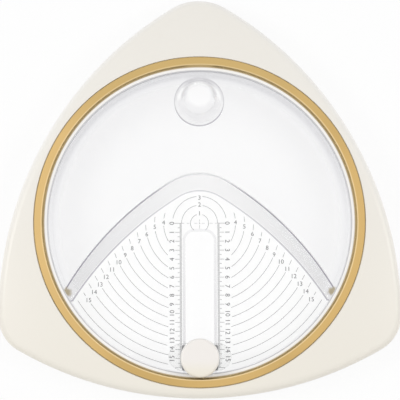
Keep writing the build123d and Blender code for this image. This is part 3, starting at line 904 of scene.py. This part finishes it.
# %% Draw the crosshair at the centre
# Each dash runs from a first to a second point, in millimetres from the disc's axis
dash_width = 0.14 * MM
dashes = [(-14.6, 0, -13.2, 0), (-12.4, 0, -8.6, 0), (-7.2, 0, -5.6, 0), (-2.9, 0, -1.2, 0)]
dashes += [(-a, 0, -c, 0) for a, _, c, _ in dashes]
dashes += [(0, -3.1, 0, -0.9), (0, 0.9, 0, 2.1), (-0.5, 0, 0.5, 0), (0, -0.5, 0, 0.5)]
cross = [strip(Vector((a, b)) * MM, Vector((c, d)) * MM, dash_width) for a, b, c, d in dashes]
crosshair = join("scale_crosshair", cross)
thicken(crosshair, ink_thickness)
print_on_disc(crosshair)

# %% [markdown]
# ### Numbers
# The numbers are plain figures in Blender's own font. Each one becomes a mesh before it is moved,
# and then lies on the floor as a thin film, like the lines.

# %% Print the numbers
arc_figure, ruler_figure = 2.4 * MM, 2.6 * MM
figure_share, figure_curve_steps = 0.7, 3
ruler_column = 15.3 * MM
top_places = {1: 5.4 * MM, 2: 10.3 * MM, 3: 14.1 * MM}


def figure(text, x, y, height, turn=0.0):
    """A number lying on the floor, with its middle at x and y from the disc's axis."""
    bpy.ops.object.text_add()
    number = bpy.context.object
    number.data.body = text
    number.data.size = height / figure_share
    number.data.align_x = "CENTER"
    number.data.align_y = "CENTER"
    number.data.resolution_u = figure_curve_steps
    alone(number)
    bpy.ops.object.convert(target="MESH")
    number = bpy.context.object
    number.location = (disc_middle.x + x, disc_middle.y + y, ink_height)
    number.rotation_euler.z = turn
    settle(number)
    return number


figures = []
for number, y in top_places.items():
    figures.append(figure(str(number), 0, y, arc_figure))
for number in range(first_beside_wall, last_arc):
    radius = number * scale_step
    angle = arc_top(number) + number_run / radius
    for side in (-1, 1):
        x = side * radius * math.sin(angle)
        figures.append(figure(str(number), x, radius * math.cos(angle), arc_figure))
for number in range(last_arc):
    for side in (-1, 1):
        turn = -side * math.pi / 2
        figures.append(figure(str(number), side * ruler_column, -number * scale_step, ruler_figure, turn))
numbers = join("scale_numbers", figures)
thicken(numbers, ink_thickness)
print_on_disc(numbers)

# %% [markdown]
# ## The return spring
# A coil spring under the knob lifts it after each press, and shortens when the knob goes down. A
# coil is wound here with the Screw modifier and fixed to the carriage.

# %% Wind the return spring
wire, coil_turns = 0.7 * MM, 8
wire_sides, steps_per_turn, smooth_angle = 14, 40, math.radians(50)
ends_room = wire * 1.1

spring_low, spring_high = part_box("return_spring")
knob_axis = (spring_low + spring_high) / 2
coil_radius = (spring_high.y - spring_low.y - wire) / 2
coil_rise = spring_high.z - spring_low.z - ends_room
start = (knob_axis.x + coil_radius, knob_axis.y, spring_low.z + ends_room / 2)
upright = (math.pi / 2, 0, 0)
bpy.ops.mesh.primitive_circle_add(vertices=wire_sides, radius=wire / 2, location=start, rotation=upright)
coil = bpy.context.object
settle(coil)
bpy.context.scene.cursor.location = (knob_axis.x, knob_axis.y, 0)
bpy.ops.object.origin_set(type="ORIGIN_CURSOR")
winding = coil.modifiers.new("winding", "SCREW")
winding.screw_offset = coil_rise / coil_turns
winding.iterations = coil_turns
winding.steps = winding.render_steps = steps_per_turn
bpy.ops.object.modifier_apply(modifier=winding.name)
settle(coil)
edit(coil)
bpy.ops.mesh.select_non_manifold()
bpy.ops.mesh.fill()
face_outwards()
bpy.ops.object.shade_smooth_by_angle(angle=smooth_angle)
coil.name = coil.data.name = "return_coil"
coil.data.materials.append(spring_steel)
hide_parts("return_spring")
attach(coil, "carriage")
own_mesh(coil)
print("coil radius", round(coil_radius / MM, 2), "mm")

# %% [markdown]
# ## Studio
# The photograph has a pure white ground and very soft light, with a softbox on each side. The floor
# is white paper: to the camera, to reflections and through the clear plastic it shows mostly as
# plain white, and the rest of it takes real light and shadow. The world does the same: it is seen
# as white, and it lights the object more gently. Clear plastic on a white ground would vanish, so
# as photographers do, dark cards stand round the table. Only reflections and bent light meet them,
# low over the horizon and far out on the floor, and they draw the edges of the clear plastic.

# %% Floor
floor_size, floor_drop, paper_glow = 6.0, 0.05 * MM, 0.88
card_shade, card_near, card_far = 0.12, 0.3, 0.7
white = (1, 1, 1, 1)
paper_finish = {"Base Color": seen(250, 250, 250), "Roughness": 0.9, "Specular IOR Level": 0.1}

bpy.ops.mesh.primitive_plane_add(size=floor_size, location=(0, 0, -floor_drop))
floor = bpy.context.object
floor.name = "floor"
paper = Finish("floor_paper", paper_finish)
plain_white = paper.node("ShaderNodeEmission", {}, {"Color": white, "Strength": 1.0})
reach = paper.node("ShaderNodeVectorMath", {"operation": "LENGTH"}, {0: paper.place()}, output="Value")
card = paper.ramp(reach, card_near, card_far, 1.0, card_shade)
glow = (paper.rays("Camera") + paper.rays("Glossy", "Transmission") * card) * paper_glow
lit = Socket(paper, paper.shader.outputs[0])
paper.feed(paper.nodes["Material Output"].inputs["Surface"], paper.mix(glow, lit, plain_white))
floor.data.materials.append(paper.material)
print("floor", floor_size, "m wide")

# %% Softboxes
# Each softbox has a place in metres and a power in watts
softbox_size = 0.5
softboxes = {"softbox_left": ((-0.9, 0.05, 0.9), 4.7), "softbox_right": ((0.9, 0.0, 0.9), 3.8)}
for name, (place, power) in softboxes.items():
    bpy.ops.object.light_add(type="AREA", location=place)
    lamp = bpy.context.object
    lamp.name = name
    lamp.data.energy = power
    lamp.data.size = softbox_size
    lamp.rotation_euler = (-Vector(place)).to_track_quat("-Z", "Y").to_euler()
print("lit", len(softboxes), "softboxes")

# %% White surroundings
sky_light = 0.6
card_low, card_high = 0.1, 0.45
world = bpy.data.worlds.new("studio")
bpy.context.scene.world = world
world.use_nodes = True
sky = Network(world.node_tree)
sky.feed(sky.nodes["Background"].inputs["Color"], white)
way = sky.node("ShaderNodeTexCoord", output="Generated")
height = sky.node("ShaderNodeSeparateXYZ", {}, {0: way}, output="Z")
card = sky.ramp(height, card_low, card_high, card_shade, 1.0)
camera_rays, bent_rays = sky.rays("Camera"), sky.rays("Glossy", "Transmission")
strength = camera_rays + bent_rays * card + (1 - camera_rays - bent_rays) * sky_light
sky.feed(sky.nodes["Background"].inputs["Strength"], strength)
print("hung the sky")
